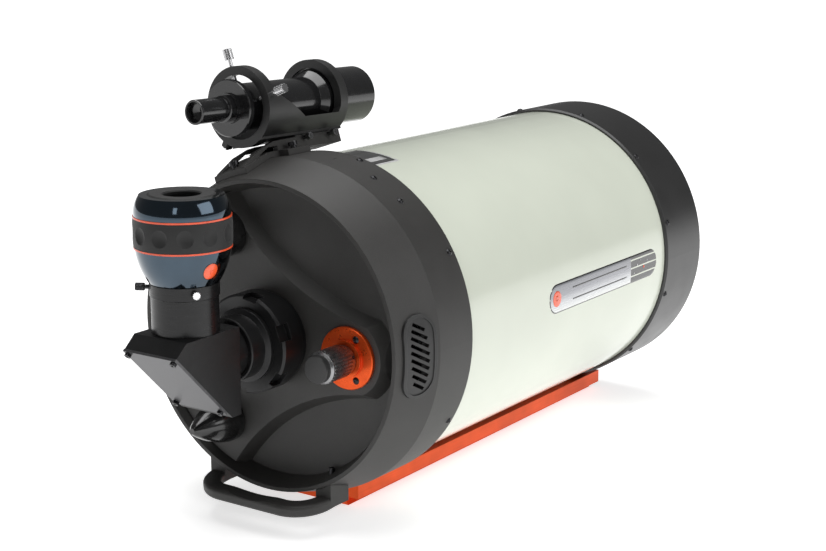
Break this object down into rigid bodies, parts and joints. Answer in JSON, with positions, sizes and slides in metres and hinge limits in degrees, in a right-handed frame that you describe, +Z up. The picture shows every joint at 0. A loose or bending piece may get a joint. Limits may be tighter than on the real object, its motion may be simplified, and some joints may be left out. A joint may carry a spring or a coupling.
{
  "type": "schmidt cassegrain telescope",
  "caption": "Compact folded-light-path telescope tube with mirror diagonal, wide eyepiece, finder, focus knob, mirror clutches, carrying handle and dovetail bar.",
  "frame": {"origin": "centre of the dovetail bar's bottom face", "axes": "+Y along the optical axis from the eyepiece end towards the sky, +Z up away from the bar, +X to the right of an observer behind the telescope"},
  "size_m": [0.3336, 0.7801, 0.4516],
  "materials": {
    "tube_paint": "gloss pale green-white enamel",
    "cell_paint": "fine textured charcoal",
    "front_ring_paint": "satin black",
    "black_anodised": "satin black anodised",
    "orange_anodised": "satin orange anodised",
    "optical_glass": "coated",
    "silvered_mirror": "polished",
    "black_steel": "black oxide",
    "bright_steel": "bright",
    "black_plastic": "satin moulded",
    "gunmetal": "brushed gunmetal",
    "cover_plate_metal": "brushed dark grey",
    "blue_gloss": "mirror gloss dark blue",
    "grip_rubber": "matte",
    "orange_band": "gloss",
    "barrel_chrome": "polished",
    "finder_gloss": "gloss black"
  },
  "bodies": {
    "ota": {"main_tube": "tube_paint", "rear_cell": "cell_paint", "front_cell": "front_ring_paint", "small_screws": "black_steel", "corrector_plate": "optical_glass", "corrector_ring": "black_anodised", "corrector_ring_screws": "black_steel", "secondary_holder": "black_anodised", "secondary_holder_nut": "black_anodised", "secondary_cap_ring": "black_anodised", "secondary_cell": "black_anodised", "secondary_mirror": "silvered_mirror", "collimation_screws": "black_steel", "primary_baffle": "black_anodised", "focus_flange": "orange_anodised", "visual_ring": "black_anodised", "visual_back": "black_anodised", "finder_shoe": "cell_paint", "vent_grille_left": "black_plastic", "vent_grille_right": "black_plastic", "rear_handle": "cell_paint", "dovetail_bar": "orange_anodised", "socket_screws": "black_steel"},
    "primary": {"primary_mirror": "silvered_mirror", "mirror_carrier": "black_anodised"},
    "focus_knob": {"focus_knob": "gunmetal", "knob_cap": "black_plastic", "focus_screw": "bright_steel"},
    "clutch_upper": {"clutch_knob_upper": "black_plastic"},
    "clutch_lower": {"clutch_knob_lower": "black_plastic"},
    "visual_screw_upper": {"visual_back_screw_upper": "bright_steel"},
    "visual_screw_lower": {"visual_back_screw_lower": "bright_steel"},
    "diagonal": {"diagonal_body": "black_anodised", "diagonal_nose": "black_anodised", "diagonal_mirror": "silvered_mirror", "diagonal_cover": "cover_plate_metal", "cover_screws": "black_steel", "eyepiece_holder": "black_anodised"},
    "holder_thumbscrew": {"holder_thumbscrew": "black_plastic"},
    "holder_side_screw": {"holder_side_screw": "bright_steel"},
    "eyepiece": {"eyepiece_barrel": "barrel_chrome", "eyepiece_body": "blue_gloss", "eyepiece_grip": "grip_rubber", "eyepiece_bands": "orange_band", "eyepiece_lenses": "optical_glass"},
    "twist_ring": {"eyepiece_twist_ring": "blue_gloss"},
    "eyecup": {"eyecup": "grip_rubber"},
    "finder_bracket": {"finder_bracket": "black_anodised"},
    "finder_o_ring": {"finder_o_ring": "grip_rubber"},
    "finder_tube": {"finder_tube": "finder_gloss", "finder_rear_plate": "finder_gloss", "finder_eyepiece": "finder_gloss"},
    "finder_objective": {"finder_objective_cell": "finder_gloss", "finder_objective": "optical_glass"},
    "finder_lock_ring": {"finder_lock_ring": "black_anodised"},
    "align_screw_upper": {"align_screw_upper": "bright_steel"},
    "align_screw_side": {"align_screw_side": "bright_steel"},
    "plunger": {"plunger": "bright_steel"},
    "clamp_screw_rear": {"shoe_clamp_screw_rear": "bright_steel"},
    "clamp_screw_front": {"shoe_clamp_screw_front": "bright_steel"}
  },
  "joints": [
    {"name": "focus_turn", "type": "hinge", "parent": "ota", "child": "focus_knob", "pos_m": [0.09377, -0.323, 0.17944], "axis": [0, 1, 0], "range_deg": [-3361, 3361]},
    {"name": "mirror_focus", "type": "slide", "parent": "ota", "child": "primary", "axis": [0, 1, 0], "range_m": [-0.007, 0.007]},
    {"name": "clutch_upper_turn", "type": "hinge", "parent": "ota", "child": "clutch_upper", "pos_m": [-0.04858, -0.323, 0.28134], "axis": [0, 1, 0], "range_deg": [-360, 360]},
    {"name": "clutch_lower_turn", "type": "hinge", "parent": "ota", "child": "clutch_lower", "pos_m": [-0.05511, -0.323, 0.09428], "axis": [0, 1, 0], "range_deg": [-360, 360]},
    {"name": "visual_screw_upper_turn", "type": "hinge", "parent": "ota", "child": "visual_screw_upper", "pos_m": [-0.02598, -0.376, 0.201], "axis": [-0.866, 0, 0.5], "range_deg": [-360, 360]},
    {"name": "visual_screw_lower_turn", "type": "hinge", "parent": "ota", "child": "visual_screw_lower", "pos_m": [-0.02598, -0.376, 0.171], "axis": [-0.866, 0, -0.5], "range_deg": [-360, 360]},
    {"name": "diagonal_turn", "type": "hinge", "parent": "ota", "child": "diagonal", "pos_m": [0, -0.373, 0.186], "axis": [0, 1, 0], "continuous": true},
    {"name": "holder_thumbscrew_turn", "type": "hinge", "parent": "diagonal", "child": "holder_thumbscrew", "pos_m": [0, -0.44, 0.2565], "axis": [-0.8746, -0.4848, 0], "range_deg": [-360, 360]},
    {"name": "holder_side_screw_turn", "type": "hinge", "parent": "diagonal", "child": "holder_side_screw", "pos_m": [0, -0.44, 0.2565], "axis": [0.8572, -0.515, 0], "range_deg": [-360, 360]},
    {"name": "eyepiece_lift", "type": "slide", "parent": "diagonal", "child": "eyepiece", "axis": [0, 0, 1], "range_m": [0, 0.055]},
    {"name": "eyecup_twist", "type": "hinge", "parent": "eyepiece", "child": "twist_ring", "pos_m": [0, -0.44, 0.326], "axis": [0, 0, 1], "range_deg": [0, 270]},
    {"name": "eyecup_rise", "type": "slide", "parent": "eyepiece", "child": "eyecup", "axis": [0, 0, 1], "range_m": [0, 0.008]},
    {"name": "finder_release", "type": "slide", "parent": "ota", "child": "finder_bracket", "axis": [-0.0083, -0.9997, 0.0248], "range_m": [0, 0.072]},
    {"name": "finder_pitch", "type": "hinge", "parent": "finder_bracket", "child": "finder_o_ring", "pos_m": [-0.06953, -0.161, 0.39261], "axis": [0.9478, 0, 0.319], "range_deg": [-0.8, 0.8]},
    {"name": "finder_yaw", "type": "hinge", "parent": "finder_o_ring", "child": "finder_tube", "pos_m": [-0.06953, -0.161, 0.39261], "axis": [-0.3188, 0.0262, 0.9474], "range_deg": [-0.8, 0.8]},
    {"name": "finder_focus", "type": "slide", "parent": "finder_tube", "child": "finder_objective", "axis": [0.0083, 0.9997, -0.0248], "range_m": [0, 0.006]},
    {"name": "finder_lock_turn", "type": "hinge", "parent": "finder_tube", "child": "finder_lock_ring", "pos_m": [-0.06953, -0.161, 0.39261], "axis": [0.0083, 0.9997, -0.0248], "continuous": true},
    {"name": "align_screw_upper_turn", "type": "hinge", "parent": "finder_bracket", "child": "align_screw_upper", "pos_m": [-0.07047, -0.27296, 0.39539], "axis": [-0.3353, 0.0262, 0.9417], "range_deg": [-360, 360]},
    {"name": "align_screw_side_turn", "type": "hinge", "parent": "finder_bracket", "child": "align_screw_side", "pos_m": [-0.07047, -0.27296, 0.39539], "axis": [0.9232, 0.0018, 0.3843], "range_deg": [-360, 360]},
    {"name": "plunger_push", "type": "slide", "parent": "finder_bracket", "child": "plunger", "axis": [-0.4447, -0.0185, -0.8955], "range_m": [0, 0.006], "stiffness_N_per_m": 600, "springref_m": -0.004},
    {"name": "clamp_screw_rear_turn", "type": "hinge", "parent": "ota", "child": "clamp_screw_rear", "pos_m": [-0.05697, -0.21605, 0.3553], "axis": [0.9478, 0, 0.319], "range_deg": [-360, 360]},
    {"name": "clamp_screw_front_turn", "type": "hinge", "parent": "ota", "child": "clamp_screw_front", "pos_m": [-0.05664, -0.17606, 0.3543], "axis": [0.9478, 0, 0.319], "range_deg": [-360, 360]}
  ],
  "couplings": [
    {"joint": "focus_turn", "follows": "mirror_focus", "rad_per_m": 8377.6},
    {"joint": "eyecup_rise", "follows": "eyecup_twist", "m_per_rad": 0.0016976}
  ]
}
